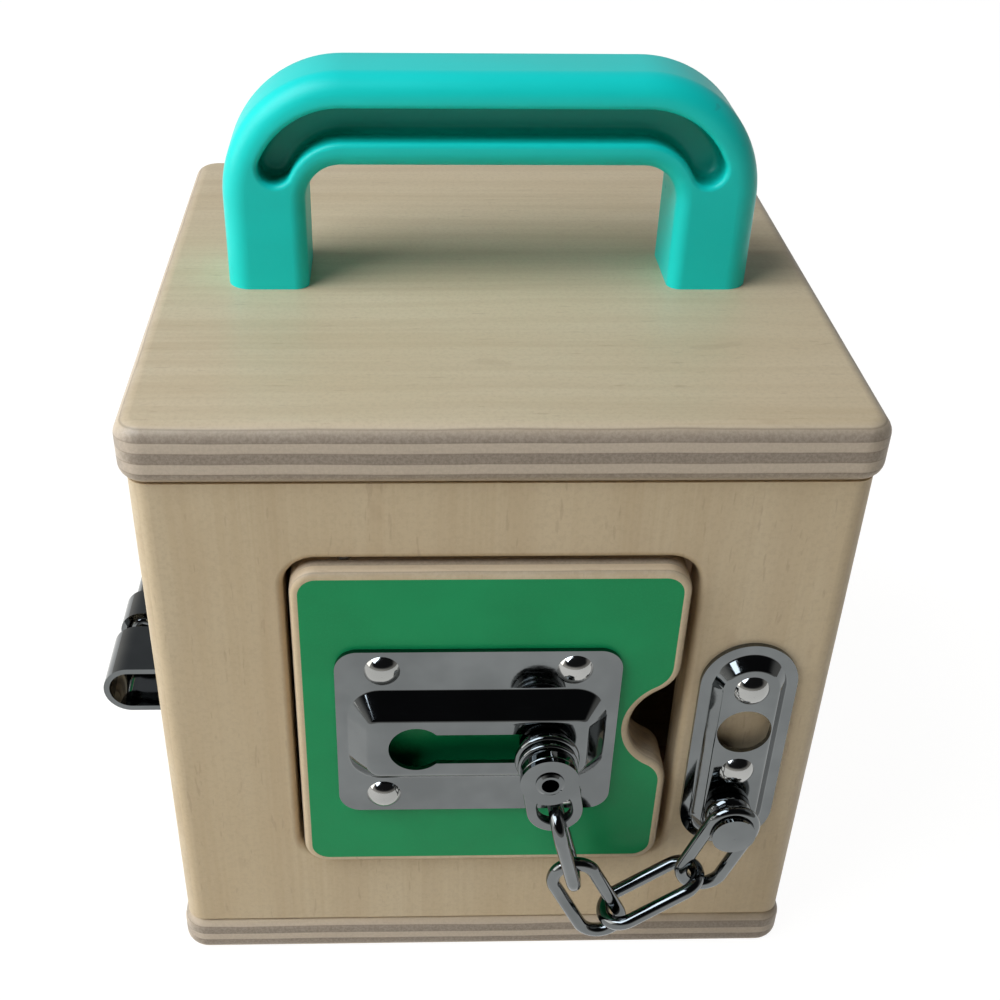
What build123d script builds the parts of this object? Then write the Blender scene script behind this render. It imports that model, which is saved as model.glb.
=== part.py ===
"""Wooden lock box: a plywood case with a carrying handle, a chained front door and a bolted side door.

Millimetres, +Z up, front towards -Y. The origin is the middle of the underside of the base.
"""
import math
import os
from collections import namedtuple

from build123d import *

# Case boards
CASE_WIDTH = 150.0
CASE_DEPTH = 150.0
PANEL_HEIGHT = 128.0
PANEL_THICKNESS = 9.0
PANEL_EDGE_ROUND = 4.5
BASE_THICKNESS = 11.0
BASE_OVERHANG = 1.1
LID_THICKNESS = 13.0
LID_OVERHANG = 1.6
BOARD_CORNER_ROUND = 6.0
BOARD_EDGE_ROUND = 3.5

# Door openings, one in the front panel and one in the left panel
OPENING_SIZE = 87.6
OPENING_ROUND = 7.0
OPENING_EDGE_ROUND = 1.6
OPENING_RISE = 1.9
FRONT_OPENING_SHIFT = -1.5
SIDE_OPENING_SHIFT = 0.0
SIDE_STILE = 31.2

# Doors, in the plane of their panel: hinged at the low end, free at the high end
DOOR_THICKNESS = 12.0
DOOR_PROUD = 3.0
DOOR_EDGE_ROUND = 1.5
DOOR_BACK_ROUND = 1.0
HINGE_GAP = 1.4
FREE_GAP = 2.1
END_GAP = 1.2
FACE_SHEET = 0.8
FACE_MARGIN = 0.3
NOTCH_LENGTH = 34.0
NOTCH_DEPTH = 9.9
NOTCH_HOLLOW_RADIUS = 11.5

# Door pivot pins
PIN_RADIUS = 1.5
PIN_INSET = 11.5
PIN_DEPTH = 6.3
PIN_IN_DOOR = 11.0
PIN_IN_PANEL = 9.0
RUNNING_FIT = 0.05

# Door stops inside the case
STOP_WIDTH = 14.0
STOP_LENGTH = 15.0
STOP_THICKNESS = 6.0
STOP_COVER = 3.5
STOP_GAP = 0.2
STOP_SPACING = 60.0

# Fasteners
FIT = 0.1
SCREW_RADIUS = 1.5
SCREW_HEAD_RADIUS = 2.8
SCREW_RECESS = 0.4
SCREW_LENGTH = 28.0
SINK_ANGLE = 82.0
DOWEL_RADIUS = 3.0
DOWEL_LENGTH = 22.0
DOWEL_IN_THIN_BOARD = 6.0
FIXING_WALL = 3.0
RIVET_SHANK_RADIUS = 1.5
RIVET_SHANK_LENGTH = 9.0
RIVET_RISE = 2.1

# Carrying handle
HANDLE_LENGTH = 119.5
HANDLE_HEIGHT = 47.3
HANDLE_DEPTH = 23.0
HANDLE_LEG = 18.5
HANDLE_BAR = 19.4
HANDLE_OUTER_ROUND = 27.0
HANDLE_INNER_ROUND = 8.0
HANDLE_EDGE_ROUND = 5.2
HANDLE_GRIP_ROUND = 3.2
GROOVE_WIDTH = 7.2
GROOVE_DEPTH = 8.0
GROOVE_DROP = 10.4
GROOVE_SWEEP = 64.0
GROOVE_LIP_ROUND = 1.2
GROOVE_FLOOR_ROUND = 1.6
HANDLE_SCREW_RADIUS = 2.5
HANDLE_SCREW_HEAD_RADIUS = 4.6
HANDLE_SCREW_HEAD = 3.0
HANDLE_SCREW_GRIP = 22.0

# Slot plate on the front door
SHEET = 1.2
SLOT_PLATE_LENGTH = 62.2
SLOT_PLATE_HEIGHT = 46.6
SLOT_PLATE_ROUND = 5.0
SLOT_PLATE_INSET = 13.1
HARDWARE_DROP = 0.6
CHANNEL_LENGTH = 57.6
CHANNEL_HEIGHT = 25.8
CHANNEL_ROUND = 7.5
CHANNEL_RISE = 5.0
CHANNEL_SLOPE = 45.0
CHANNEL_LIP_ROUND = 2.2
CHANNEL_FOOT_ROUND = 1.0
SLOT_WIDTH = 8.4
KEYHOLE_RADIUS = 6.1
KEYHOLE_INSET = 17.6
SLOT_TRAVEL = 28.5
SLOT_RIVET_RADIUS = 3.9
SLOT_RIVET_SPAN_X = 41.6
SLOT_RIVET_SPAN_Z = 36.4

# Chain slider, a turned piece that runs in the slot
SLIDER_HEAD_RADIUS = 5.7
SLIDER_HEAD = 2.2
SLIDER_NECK_RADIUS = 3.8
SLIDER_PLAY = 0.4
COLLAR_RADIUS = 5.8
COLLAR_LENGTH = 1.8
RING_RADIUS = 7.1
RING_LENGTH = 2.2
GROOVE_RADIUS = 5.8
GROOVE_LENGTH = 0.6
SECOND_RING_RADIUS = 6.6
SECOND_RING_LENGTH = 1.4
NOSE_RADIUS = 5.8
NOSE_LENGTH = 0.5
RING_ROUND = 0.9
SECOND_RING_ROUND = 0.6
WASHER_RADIUS = 6.4
WASHER_THICKNESS = 1.2
EYELET_RADIUS = 2.5
EYELET_BORE = 1.9
EYELET_SEAT_DEPTH = 5.0
EYELET_RIM_RADIUS = 3.1
EYELET_RIM = 0.7

# Swivel bail and chain
BAIL_THICKNESS = 2.6
BAIL_RADIUS = 6.2
BAIL_REACH = 9.9
BAIL_WINDOW_RADIUS = 3.7
BAIL_WINDOW_RUN = 1.3
BAIL_EDGE_ROUND = 0.5
SWIVEL_GAP = 0.2
SWIVEL_FIT = 0.3
LINK_WIRE = 3.2
LINK_GAP = 6.8
LINK_STRAIGHT = 14.5
LINK_SLACK = 0.5
LINK_SIDE_SLACK = 0.65
MIDDLE_LINK_DROP = 3.0
BAIL_HANG = 10.0
LINK_HANG = (14.0, 27.0, 114.2, 159.4)

# Chain plate on the front panel
CHAIN_PLATE_LENGTH = 60.2
CHAIN_PLATE_WIDTH = 21.6
CHAIN_PLATE_RISE = 2.8
CHAIN_PLATE_FLANGE = 2.4
CHAIN_PLATE_SLOPE = 40.0
CHAIN_PLATE_LIP_ROUND = 1.2
CHAIN_PLATE_FOOT_ROUND = 0.8
PLATE_PATTERN_PITCH = 12.0
PLATE_HOLE_RADIUS = 6.1
PLATE_RIVET_RADIUS = 3.9
STUD_OFFSET = 0.8
STUD_ABOVE_END = 13.9

# Chain stud
STUD_GAP = 0.3
STUD_BASE_RADIUS = 5.45
STUD_BASE = 3.6
STUD_BASE_ROUND = 2.4
STUD_NECK_RADIUS = 2.7
STUD_NECK_PLAY = 0.5
STUD_HEAD_RADIUS = 5.0
STUD_HEAD = 1.0
STUD_HEAD_CROWN = 0.6

# Bolt on the side door and its keeper on the left panel
BOLT_DROP = 1.2
ROD_RADIUS = 3.9
ROD_LENGTH = 60.0
ROD_NOSE_ROUND = 2.0
ROD_LIFT = 0.4
GUIDE_BORE = 4.25
GUIDE_WALL = 1.3
GUIDE_LENGTH = 9.7
GUIDE_INSET = 2.2
GUIDE_SPACING = 35.7
BOLT_PLATE_LENGTH = 56.0
BOLT_PLATE_HEIGHT = 27.0
BOLT_PLATE_ROUND = 3.5
BOLT_PLATE_INSET = 0.6
BOLT_SCREW_RADIUS = 2.6
BOLT_SCREW_MARGIN = 4.4
KNOB_STEM_RADIUS = 2.0
KNOB_STEM = 5.0
KNOB_RADIUS = 3.7
KNOB_SETBACK = 3.0
KEEPER_BORE = 4.8
KEEPER_LENGTH = 16.3
KEEPER_SETBACK = 1.6
KEEPER_EAR = 8.0
KEEPER_EAR_ROUND = 2.5

# Reference planes and levels
panel_bottom = BASE_THICKNESS
panel_top = panel_bottom + PANEL_HEIGHT
lid_top = panel_top + LID_THICKNESS
panel_middle = panel_bottom + PANEL_HEIGHT / 2
door_middle = panel_middle + OPENING_RISE
hardware_level = door_middle - HARDWARE_DROP
front_face = Plane.XZ.offset(CASE_DEPTH / 2)
left_face = Plane(origin=(-CASE_WIDTH / 2, 0, 0), x_dir=(0, -1, 0), z_dir=(-1, 0, 0))
front_door_face = front_face.offset(DOOR_PROUD)
side_door_face = left_face.offset(DOOR_PROUD)
underside = Plane(origin=(0, 0, 0), x_dir=(1, 0, 0), z_dir=(0, 0, -1))

# Openings and the door sizes that follow from them
Opening = namedtuple("Opening", "middle width")
front_opening = Opening(FRONT_OPENING_SHIFT, OPENING_SIZE)
side_opening = Opening(SIDE_OPENING_SHIFT, CASE_DEPTH - 2 * SIDE_STILE)
door_height = OPENING_SIZE - 2 * END_GAP
door_round = OPENING_ROUND - END_GAP
side_depth = CASE_DEPTH - 2 * PANEL_THICKNESS


def free_edge(opening):
    """Where the free edge of the door in an opening lies."""
    return opening.middle + opening.width / 2 - FREE_GAP


def axis_plane(seat, place):
    """Plane through a place on the seat whose local Y points away from the seat, for turned profiles."""
    origin = seat.from_local_coords((place[0], place[1], 0))
    return Plane(origin=origin, x_dir=seat.x_dir, z_dir=-seat.y_dir)


def turned(seat, place, points):
    """Turn a profile of (radius, height above the seat) points round the seat's normal."""
    plane = axis_plane(seat, place)
    with BuildSketch(plane) as profile:
        with BuildLine():
            Polyline(*points, close=True)
        make_face()
    revolve(profile.sketch, axis=Axis(plane.origin, seat.z_dir))


def dome_halfway(radius, rise, level=0.0):
    """Point halfway along the arc of a spherical dome, from its rim at the level to its top."""
    ball = (radius ** 2 + rise ** 2) / (2 * rise)
    half_angle = math.asin(radius / ball) / 2
    return ball * math.sin(half_angle), level + rise - ball * (1 - math.cos(half_angle))


def domed_rivets(seat, places, head_radius, rise, shank_length):
    """Rivets with a spherical head on the seat and a plain shank below it."""
    halfway = dome_halfway(head_radius, rise)
    for place in places:
        plane = axis_plane(seat, place)
        with BuildSketch(plane) as profile:
            with BuildLine():
                ThreePointArc((head_radius, 0), halfway, (0, rise))
                Line((0, rise), (0, -shank_length))
                Line((0, -shank_length), (RIVET_SHANK_RADIUS, -shank_length))
                Line((RIVET_SHANK_RADIUS, -shank_length), (RIVET_SHANK_RADIUS, 0))
                Line((RIVET_SHANK_RADIUS, 0), (head_radius, 0))
            make_face()
        revolve(profile.sketch, axis=Axis(plane.origin, seat.z_dir))


def shank_holes(seat, places, depth, radius=RIVET_SHANK_RADIUS + FIT):
    """Plain holes from the seat inwards."""
    with BuildSketch(seat) as holes:
        with Locations(*places):
            Circle(radius)
    extrude(holes.sketch, amount=-depth, mode=Mode.SUBTRACT)


def door_opening(panel, face, opening):
    """Cut the rounded door opening through a panel and round its outer edge."""
    with BuildSketch(face) as hole:
        with Locations((opening.middle, door_middle)):
            RectangleRounded(opening.width, OPENING_SIZE, OPENING_ROUND)
    extrude(hole.sketch, amount=-PANEL_THICKNESS, mode=Mode.SUBTRACT)
    outer = panel.faces().sort_by(Axis(face.origin, face.z_dir))[-1]
    fillet(outer.inner_wires()[0].edges(), OPENING_EDGE_ROUND)


def pin_line(door_face, opening):
    """Where a door's pivot pins stand, as a point of the ground plan."""
    hinge_edge = opening.middle - opening.width / 2 + HINGE_GAP
    return door_face.from_local_coords((hinge_edge + PIN_INSET, 0, -PIN_DEPTH))


def pin_ends():
    """Lower ends of the two pins of a door."""
    low = door_middle - door_height / 2 - END_GAP - PIN_IN_PANEL
    high = door_middle + door_height / 2 - PIN_IN_DOOR
    return low, high


def pivot_pins(door_face, opening, radius, mode=Mode.ADD):
    """The two upright pins of a door, or the bores for them."""
    centre = pin_line(door_face, opening)
    for level in pin_ends():
        with BuildSketch(Plane.XY.offset(level)) as section:
            with Locations((centre.X, centre.Y)):
                Circle(radius)
        extrude(section.sketch, amount=PIN_IN_DOOR + END_GAP + PIN_IN_PANEL, mode=mode)


def notch(opening):
    """Finger notch in the free edge: a hollow between two tangent round shoulders."""
    half = NOTCH_LENGTH / 2
    edge = free_edge(opening)
    angle = 2 * math.degrees(math.atan(NOTCH_DEPTH / half))
    shoulder = half / math.sin(math.radians(angle)) - NOTCH_HOLLOW_RADIUS
    hollow = edge - NOTCH_DEPTH + NOTCH_HOLLOW_RADIUS
    with BuildLine() as curve:
        CenterArc((edge - shoulder, door_middle + half), shoulder, 0, -angle)
        CenterArc((hollow, door_middle), NOTCH_HOLLOW_RADIUS, 180 - angle, 2 * angle)
        CenterArc((edge - shoulder, door_middle - half), shoulder, angle, -angle)
        Line((edge, door_middle - half), (edge, door_middle + half))
    make_face(curve.edges(), mode=Mode.SUBTRACT)


def door_outline(opening, notched):
    """Outline of a door in its panel's plane."""
    length = opening.width - HINGE_GAP - FREE_GAP
    with Locations((free_edge(opening) - length / 2, door_middle)):
        RectangleRounded(length, door_height, door_round)
    if notched:
        notch(opening)


def face_sheet(face, opening, notched, mode=Mode.ADD):
    """Coloured sheet let into the front of a door, or the bed for it."""
    with BuildSketch(face) as bed:
        door_outline(opening, notched)
        offset(amount=-DOOR_EDGE_ROUND - FACE_MARGIN, mode=Mode.REPLACE)
    extrude(bed.sketch, amount=-FACE_SHEET, mode=mode)


def door_board(board, face, opening, notched):
    """Door board with rounded edges and a shallow bed for its coloured sheet."""
    with BuildSketch(face) as outline:
        door_outline(opening, notched)
    extrude(outline.sketch, amount=-DOOR_THICKNESS)
    across = Axis(face.origin, face.z_dir)
    fillet(board.faces().sort_by(across)[-1].edges(), DOOR_EDGE_ROUND)
    fillet(board.faces().sort_by(across)[0].edges(), DOOR_BACK_ROUND)
    face_sheet(face, opening, notched, Mode.SUBTRACT)


def door_stops(face, opening):
    """Two short battens on the inside of a panel that catch the free edge of its door."""
    middle = free_edge(opening) - STOP_COVER + STOP_WIDTH / 2
    inside = face.offset(-PANEL_THICKNESS - STOP_GAP)
    with BuildSketch(inside) as battens:
        with Locations((middle, door_middle)):
            with GridLocations(0, STOP_SPACING, 1, 2):
                Rectangle(STOP_WIDTH, STOP_LENGTH)
    extrude(battens.sketch, amount=-STOP_THICKNESS)
    beside = opening.middle + opening.width / 2
    foot = middle + STOP_WIDTH / 2 - beside
    with BuildSketch(inside) as feet:
        with Locations((beside + foot / 2, door_middle)):
            with GridLocations(0, STOP_SPACING, 1, 2):
                Rectangle(foot, STOP_LENGTH)
    extrude(feet.sketch, amount=STOP_GAP)


def arch(face, middle, level, bore, length, lift):
    """D-shaped strap: a half tube on two straight legs that stand on the face."""
    outer = bore + GUIDE_WALL
    front = face.from_local_coords((middle + length / 2, level, 0))
    section = Plane(origin=front, x_dir=face.z_dir, z_dir=face.x_dir)
    with BuildSketch(section) as strap:
        with Locations((lift / 2, 0)):
            Rectangle(lift, 2 * outer)
        with Locations((lift, 0)):
            Circle(outer)
        with Locations((lift, 0)):
            Circle(bore, mode=Mode.SUBTRACT)
        with Locations((lift / 2, 0)):
            Rectangle(lift, 2 * bore, mode=Mode.SUBTRACT)
        with Locations((-outer / 2, 0)):
            Rectangle(outer, 2 * outer, mode=Mode.SUBTRACT)
    extrude(strap.sketch, amount=-length)


# Case boards
base_width = CASE_WIDTH + 2 * BASE_OVERHANG
base_depth = CASE_DEPTH + 2 * BASE_OVERHANG
lid_width = CASE_WIDTH + 2 * LID_OVERHANG
lid_depth = CASE_DEPTH + 2 * LID_OVERHANG
panel_line = (CASE_DEPTH - PANEL_THICKNESS) / 2
fixing_line = OPENING_SIZE / 2 + abs(FRONT_OPENING_SHIFT) + DOWEL_RADIUS + FIXING_WALL
fixing_places = [(x, y) for x in (-fixing_line, fixing_line) for y in (-panel_line, panel_line)]
opening_bottom = door_middle - OPENING_SIZE / 2
opening_top = door_middle + OPENING_SIZE / 2
dowel_levels = ((panel_bottom + opening_bottom) / 2, (panel_top + opening_top) / 2)
side_line = (CASE_WIDTH - PANEL_THICKNESS) / 2
corner_dowel_places = [(x, z) for x in (-side_line, side_line) for z in dowel_levels]
lid_dowel_bottom = panel_top + DOWEL_IN_THIN_BOARD - DOWEL_LENGTH
sink_slope = math.tan(math.radians(SINK_ANGLE / 2))
sink_depth = (SCREW_HEAD_RADIUS - SCREW_RADIUS) / sink_slope
sink_mouth = SCREW_HEAD_RADIUS + FIT + SCREW_RECESS * sink_slope
screw_tip = SCREW_RECESS + SCREW_LENGTH
handle_leg_middle = (HANDLE_LENGTH - HANDLE_LEG) / 2
handle_places = [(-handle_leg_middle, 0), (handle_leg_middle, 0)]

with BuildPart() as base_panel:
    with BuildSketch(Plane.XY):
        RectangleRounded(base_width, base_depth, BOARD_CORNER_ROUND)
    extrude(amount=BASE_THICKNESS)
    fillet(base_panel.faces().filter_by(Axis.Z).edges(), BOARD_EDGE_ROUND)
    with Locations(underside):
        with Locations(*fixing_places):
            CounterSinkHole(SCREW_RADIUS + FIT, sink_mouth, counter_sink_angle=SINK_ANGLE)

with BuildPart() as lid_panel:
    with BuildSketch(Plane.XY.offset(panel_top)):
        RectangleRounded(lid_width, lid_depth, BOARD_CORNER_ROUND)
    extrude(amount=LID_THICKNESS)
    fillet(lid_panel.faces().filter_by(Axis.Z).edges(), BOARD_EDGE_ROUND)
    with BuildSketch(Plane.XY.offset(panel_top)):
        with Locations(*fixing_places):
            Circle(DOWEL_RADIUS + FIT)
    extrude(amount=DOWEL_IN_THIN_BOARD, mode=Mode.SUBTRACT)
    with BuildSketch(Plane.XY.offset(panel_top)):
        with Locations(*handle_places):
            Circle(HANDLE_SCREW_RADIUS + FIT)
    extrude(amount=LID_THICKNESS, mode=Mode.SUBTRACT)


def mirrored(places):
    """Places as they lie when the plane is seen from its other side."""
    return [(x, -y) for x, y in places]


def end_panel(panel, face):
    """Front or back panel: full width, with rounded outer corners and the holes of its joints."""
    with BuildSketch(face) as outline:
        with Locations((0, panel_middle)):
            Rectangle(CASE_WIDTH, PANEL_HEIGHT)
    extrude(outline.sketch, amount=-PANEL_THICKNESS)
    outward = Axis(face.origin, face.z_dir)
    fillet(panel.edges().filter_by(Axis.Z).group_by(outward)[-1], PANEL_EDGE_ROUND)
    inwards = Plane(origin=face.origin - face.z_dir * PANEL_THICKNESS, x_dir=face.x_dir, z_dir=-face.z_dir)
    shank_holes(inwards, mirrored(corner_dowel_places), DOWEL_IN_THIN_BOARD, DOWEL_RADIUS + FIT)
    downwards = underside.offset(-panel_bottom)
    shank_holes(downwards, fixing_places, screw_tip - BASE_THICKNESS + FIT, SCREW_RADIUS + FIT)
    lid_seat = Plane.XY.offset(panel_top)
    shank_holes(lid_seat, fixing_places, DOWEL_LENGTH - DOWEL_IN_THIN_BOARD + FIT, DOWEL_RADIUS + FIT)


# Chain geometry in the plane of the front face: from the slider to the stud, link by link
slot_middle = free_edge(front_opening) - SLOT_PLATE_INSET - SLOT_PLATE_LENGTH / 2
slot_place = (slot_middle, hardware_level)
keyhole_x = slot_middle - SLOT_PLATE_LENGTH / 2 + KEYHOLE_INSET
slider_x = keyhole_x + SLOT_TRAVEL
channel_face = front_door_face.offset(SHEET + CHANNEL_RISE)
collar_top = SLIDER_PLAY + COLLAR_LENGTH
ring_top = collar_top + RING_LENGTH
groove_top = ring_top + GROOVE_LENGTH
second_ring_top = groove_top + SECOND_RING_LENGTH
nose_top = second_ring_top + NOSE_LENGTH
bail_seat = nose_top + SWIVEL_GAP
washer_seat = bail_seat + BAIL_THICKNESS + SWIVEL_GAP
rim_seat = washer_seat + WASHER_THICKNESS
wire_radius = LINK_WIRE / 2
loop_radius = LINK_GAP / 2 + wire_radius
link_reach = loop_radius + LINK_GAP / 2 - wire_radius - LINK_SLACK
chain_face = front_face.offset(SHEET + CHAIN_PLATE_RISE)
stud_neck = STUD_GAP + STUD_BASE
stud_head = stud_neck + LINK_WIRE + 2 * STUD_NECK_PLAY
bail_depth = channel_face.offset(bail_seat + BAIL_THICKNESS / 2).origin.Y
flat_link_depth = (bail_depth + MIDDLE_LINK_DROP, chain_face.offset((stud_neck + stud_head) / 2).origin.Y)
first_run = flat_link_depth[0] - bail_depth - 2 * LINK_SIDE_SLACK
third_run = flat_link_depth[1] - flat_link_depth[0] - 2 * LINK_SIDE_SLACK


def hang(angle):
    """Direction at an angle from straight down, turning towards +X."""
    return Vector(math.sin(math.radians(angle)), 0, -math.cos(math.radians(angle)))


def deep_span(run):
    """Length, seen from the front, of a link that stands edge-on and drifts in depth by the run."""
    return math.sqrt(LINK_STRAIGHT ** 2 - run ** 2) + 2 * link_reach


swivel = Vector(slider_x, 0, hardware_level)
joint_1 = swivel + hang(BAIL_HANG) * BAIL_REACH
joint_2 = joint_1 + hang(LINK_HANG[0]) * deep_span(first_run)
joint_3 = joint_2 + hang(LINK_HANG[1]) * LINK_STRAIGHT
joint_4 = joint_3 + hang(LINK_HANG[2]) * deep_span(third_run)
stud_centre = joint_4 + hang(LINK_HANG[3]) * LINK_STRAIGHT
stud_place = (stud_centre.X, stud_centre.Z)
plate_x = stud_centre.X + STUD_OFFSET
plate_z = stud_centre.Z - STUD_ABOVE_END + CHAIN_PLATE_LENGTH / 2
hole_place = (plate_x, stud_centre.Z + 2 * PLATE_PATTERN_PITCH)
plate_rivet_places = [(plate_x, stud_centre.Z + PLATE_PATTERN_PITCH * row) for row in (1, 3)]
plate_rivet_grip = RIVET_SHANK_LENGTH + CHAIN_PLATE_RISE
slot_rivet_places = [
    (slot_middle + x, hardware_level + z)
    for x in (-SLOT_RIVET_SPAN_X / 2, SLOT_RIVET_SPAN_X / 2)
    for z in (-SLOT_RIVET_SPAN_Z / 2, SLOT_RIVET_SPAN_Z / 2)
]

with BuildPart() as front_panel:
    end_panel(front_panel, front_face)
    door_opening(front_panel, front_face, front_opening)
    pivot_pins(front_door_face, front_opening, PIN_RADIUS + RUNNING_FIT, Mode.SUBTRACT)
    shank_holes(front_face, plate_rivet_places, RIVET_SHANK_LENGTH - SHEET + FIT)

with BuildPart() as back_panel:
    end_panel(back_panel, Plane(origin=(0, CASE_DEPTH / 2, 0), x_dir=(-1, 0, 0), z_dir=(0, 1, 0)))


def side_panel(face):
    """Left or right panel, between the front and back panels, with the holes of its corner dowels."""
    with BuildSketch(face) as outline:
        with Locations((0, panel_middle)):
            Rectangle(side_depth, PANEL_HEIGHT)
    extrude(outline.sketch, amount=-PANEL_THICKNESS)
    grip = DOWEL_LENGTH - DOWEL_IN_THIN_BOARD + FIT
    places = [(-PANEL_THICKNESS / 2, level) for level in dowel_levels]
    for side in (-1, 1):
        end = face.origin + face.x_dir * (side * side_depth / 2)
        edge = Plane(origin=end, x_dir=face.z_dir, z_dir=face.x_dir * side)
        shank_holes(edge, places if side < 0 else mirrored(places), grip, DOWEL_RADIUS + FIT)


# Bolt geometry in the plane of the left face: local X runs towards the front of the case
plate_face = side_door_face.offset(SHEET)
bolt_level = hardware_level - BOLT_DROP
rod_lift = ROD_RADIUS + ROD_LIFT
keeper_lift = DOOR_PROUD + SHEET + rod_lift
door_front = free_edge(side_opening)
plate_middle = door_front - BOLT_PLATE_INSET - BOLT_PLATE_LENGTH / 2
guide_middle = door_front - GUIDE_INSET - GUIDE_LENGTH / 2
guide_places = (guide_middle, guide_middle - GUIDE_SPACING)
rod_front = guide_middle + GUIDE_LENGTH / 2
knob_middle = guide_places[1] + GUIDE_LENGTH / 2 + KNOB_SETBACK
keeper_middle = door_front + FREE_GAP + KEEPER_SETBACK + KEEPER_LENGTH / 2
keeper_half = KEEPER_BORE + GUIDE_WALL
keeper_screw_rise = keeper_half + KEEPER_EAR / 2
keeper_screw_places = [(keeper_middle, bolt_level + side * keeper_screw_rise) for side in (-1, 1)]
bolt_screw_places = [
    (plate_middle + x, bolt_level + z)
    for x in (BOLT_SCREW_MARGIN - BOLT_PLATE_LENGTH / 2, BOLT_PLATE_LENGTH / 2 - BOLT_SCREW_MARGIN)
    for z in (BOLT_SCREW_MARGIN - BOLT_PLATE_HEIGHT / 2, BOLT_PLATE_HEIGHT / 2 - BOLT_SCREW_MARGIN)
]

with BuildPart() as left_panel:
    side_panel(left_face)
    door_opening(left_panel, left_face, side_opening)
    pivot_pins(side_door_face, side_opening, PIN_RADIUS + RUNNING_FIT, Mode.SUBTRACT)
    shank_holes(left_face, keeper_screw_places, RIVET_SHANK_LENGTH - SHEET + FIT)

with BuildPart() as right_panel:
    side_panel(Plane(origin=(CASE_WIDTH / 2, 0, 0), x_dir=(0, 1, 0), z_dir=(1, 0, 0)))

# Fasteners and glue joints of the case
with BuildPart() as base_screws:
    for place in fixing_places:
        turned(
            underside,
            (place[0], -place[1]),
            [
                (0, -SCREW_RECESS),
                (SCREW_HEAD_RADIUS, -SCREW_RECESS),
                (SCREW_RADIUS, -SCREW_RECESS - sink_depth),
                (SCREW_RADIUS, -screw_tip),
                (0, -screw_tip),
            ],
        )

with BuildPart() as lid_dowels:
    with BuildSketch(Plane.XY.offset(lid_dowel_bottom)):
        with Locations(*fixing_places):
            Circle(DOWEL_RADIUS)
    extrude(amount=DOWEL_LENGTH)

with BuildPart() as corner_dowels:
    for side in (-1, 1):
        with BuildSketch(Plane.XZ.offset(side * (side_depth / 2 + DOWEL_IN_THIN_BOARD))):
            with Locations(*corner_dowel_places):
                Circle(DOWEL_RADIUS)
        extrude(amount=-side * DOWEL_LENGTH)

with BuildPart() as front_door_stops:
    door_stops(front_face, front_opening)

with BuildPart() as side_door_stops:
    door_stops(left_face, side_opening)

# Carrying handle: a bridge with a long groove in its front and back
bar_bottom = lid_top + HANDLE_HEIGHT - HANDLE_BAR
bend_x = HANDLE_LENGTH / 2 - HANDLE_OUTER_ROUND
bend_z = lid_top + HANDLE_HEIGHT - HANDLE_OUTER_ROUND
groove_radius = HANDLE_OUTER_ROUND - GROOVE_DROP
groove_reach = bend_x + groove_radius * math.sin(math.radians(GROOVE_SWEEP))
groove_foot = bend_z + groove_radius * math.cos(math.radians(GROOVE_SWEEP))


def is_outer(place):
    """Whether a place lies on the outside of the handle's bridge and not round its grip gap."""
    return abs(place.X) > (HANDLE_LENGTH - HANDLE_LEG) / 2 or place.Z > bar_bottom + HANDLE_BAR / 2


with BuildPart() as handle:
    with BuildSketch(Plane.XZ) as bridge:
        with Locations((0, lid_top + HANDLE_HEIGHT / 2)):
            Rectangle(HANDLE_LENGTH, HANDLE_HEIGHT)
        fillet(bridge.vertices().group_by(Axis.Y)[-1], HANDLE_OUTER_ROUND)
    extrude(amount=HANDLE_DEPTH / 2, both=True)
    with BuildSketch(Plane.XZ) as grip_gap:
        with Locations((0, (lid_top + bar_bottom) / 2)):
            Rectangle(HANDLE_LENGTH - 2 * HANDLE_LEG, bar_bottom - lid_top)
        fillet(grip_gap.vertices().group_by(Axis.Y)[-1], HANDLE_INNER_ROUND)
    extrude(amount=HANDLE_DEPTH / 2, both=True, mode=Mode.SUBTRACT)
    for outer, rounding in ((True, HANDLE_EDGE_ROUND), (False, HANDLE_GRIP_ROUND)):
        rims = handle.faces().filter_by(Axis.Y).edges()
        rims = rims.filter_by(lambda rim: rim.center().Z > lid_top + rounding)
        fillet(rims.filter_by(lambda rim: is_outer(rim.center()) == outer), rounding)
    for side in (-1, 1):
        face = Plane.XZ.offset(side * HANDLE_DEPTH / 2)
        with BuildSketch(face):
            with BuildLine():
                CenterArc((-bend_x, bend_z), groove_radius, 90 + GROOVE_SWEEP, -GROOVE_SWEEP)
                Line((-bend_x, bend_z + groove_radius), (bend_x, bend_z + groove_radius))
                CenterArc((bend_x, bend_z), groove_radius, 90, -GROOVE_SWEEP)
            trace(line_width=GROOVE_WIDTH)
            with Locations((-groove_reach, groove_foot), (groove_reach, groove_foot)):
                Circle(GROOVE_WIDTH / 2)
        extrude(amount=-side * GROOVE_DEPTH, mode=Mode.SUBTRACT)
        outward = Axis(face.origin, face.z_dir * side)
        groove_floor = handle.faces().filter_by(Axis.Y).sort_by(outward)[-2]
        fillet(groove_floor.edges(), GROOVE_FLOOR_ROUND)
        wall = handle.faces().filter_by(Axis.Y).sort_by(outward)[-1]
        fillet(wall.inner_wires()[0].edges(), GROOVE_LIP_ROUND)
    with BuildSketch(Plane.XY.offset(lid_top)):
        with Locations(*handle_places):
            Circle(HANDLE_SCREW_RADIUS + FIT)
    extrude(amount=HANDLE_SCREW_GRIP + FIT, mode=Mode.SUBTRACT)

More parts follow.
